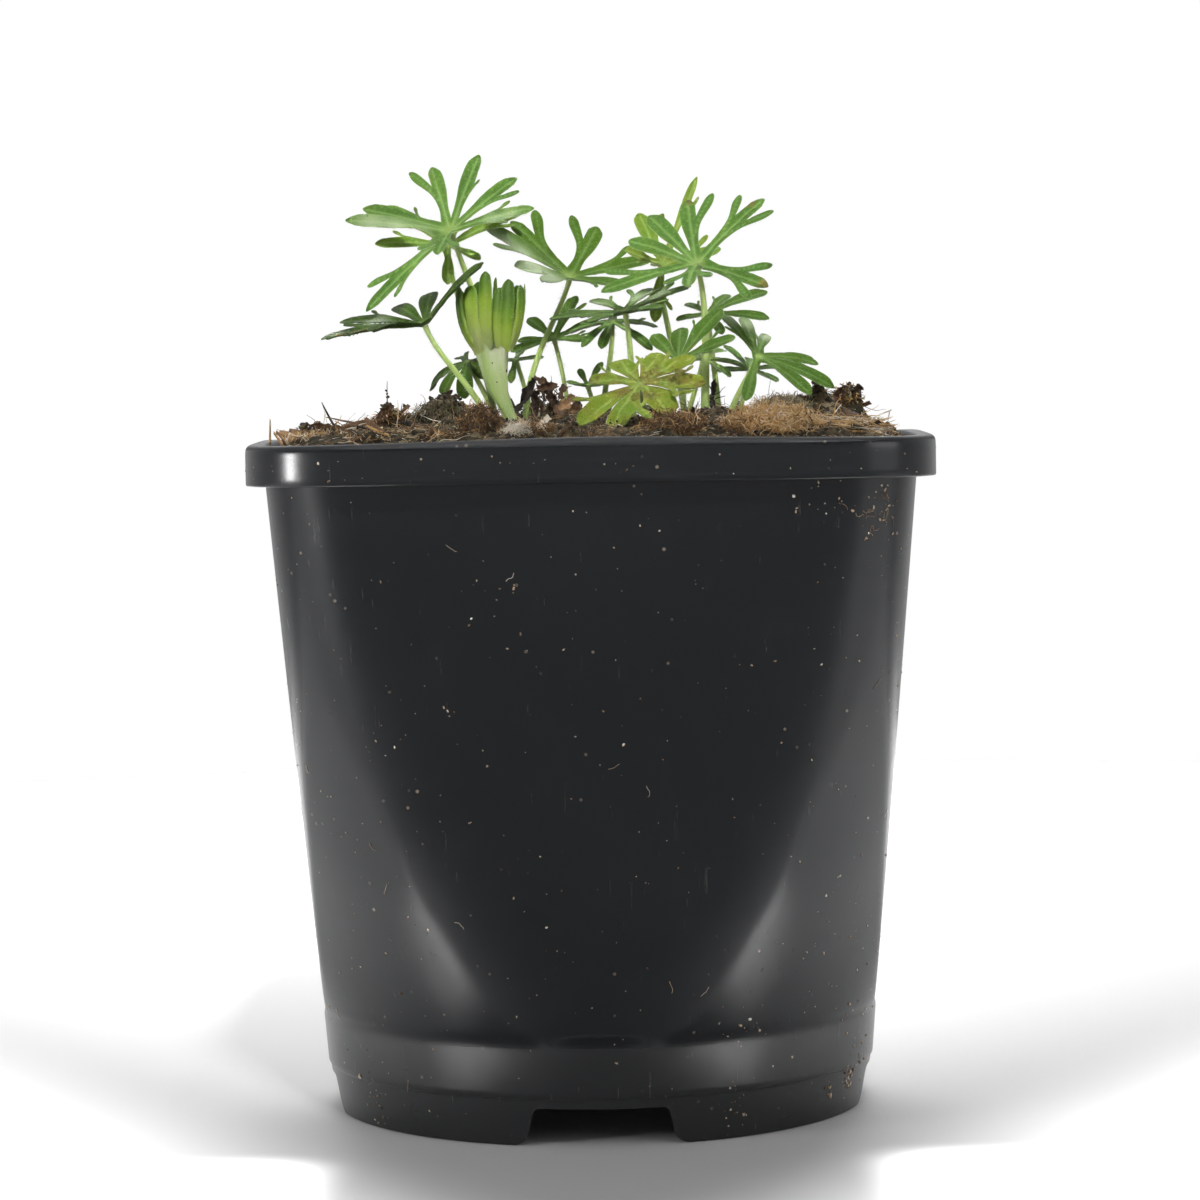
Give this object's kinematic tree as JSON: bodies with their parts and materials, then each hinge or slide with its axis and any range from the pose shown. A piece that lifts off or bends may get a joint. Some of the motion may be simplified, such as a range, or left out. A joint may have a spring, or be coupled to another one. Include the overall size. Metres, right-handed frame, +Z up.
{
  "type": "potted hardy geranium",
  "caption": "Young leafy hardy geranium with deeply cut leaves on thin stalks, growing in a filled nursery pot with a square rim and a round foot.",
  "frame": {"origin": "centre of the pot's foot, on the ground it stands on", "axes": "+Z up; -Y towards the viewer of the front side; +X to the viewer's right"},
  "size_m": [0.149, 0.149, 0.215],
  "materials": {
    "pot_plastic": "moulded black polypropylene, satin, dusty",
    "growing_medium": "loose moist peat, bark and coir, matte",
    "leaf": "living leaf, softly hairy, satin",
    "old_leaf": "ageing leaf, yellow-green with brown patches",
    "young_shoot": "young leaf and pale sheath, satin"
  },
  "bodies": {
    "root": {"pot": "pot_plastic", "growing_medium": "growing_medium", "young_shoot": "young_shoot", "leaf_top_left": "leaf", "leaf_left_behind": "leaf", "leaf_left_low": "leaf", "leaf_middle_back": "leaf", "leaf_middle_small": "leaf", "leaf_middle_flat": "leaf", "leaf_middle_drooping": "leaf", "leaf_top_right": "leaf", "leaf_right_tall_pale": "leaf", "leaf_right_inner": "leaf", "leaf_right_front": "leaf", "leaf_right_back": "leaf", "leaf_right_low": "leaf", "leaf_right_low_behind": "leaf", "leaf_yellow_front": "old_leaf", "leaf_centre_seedling": "leaf", "leaf_left_wilted": "leaf", "leaf_back_low": "leaf"}
  },
  "joints": []
}
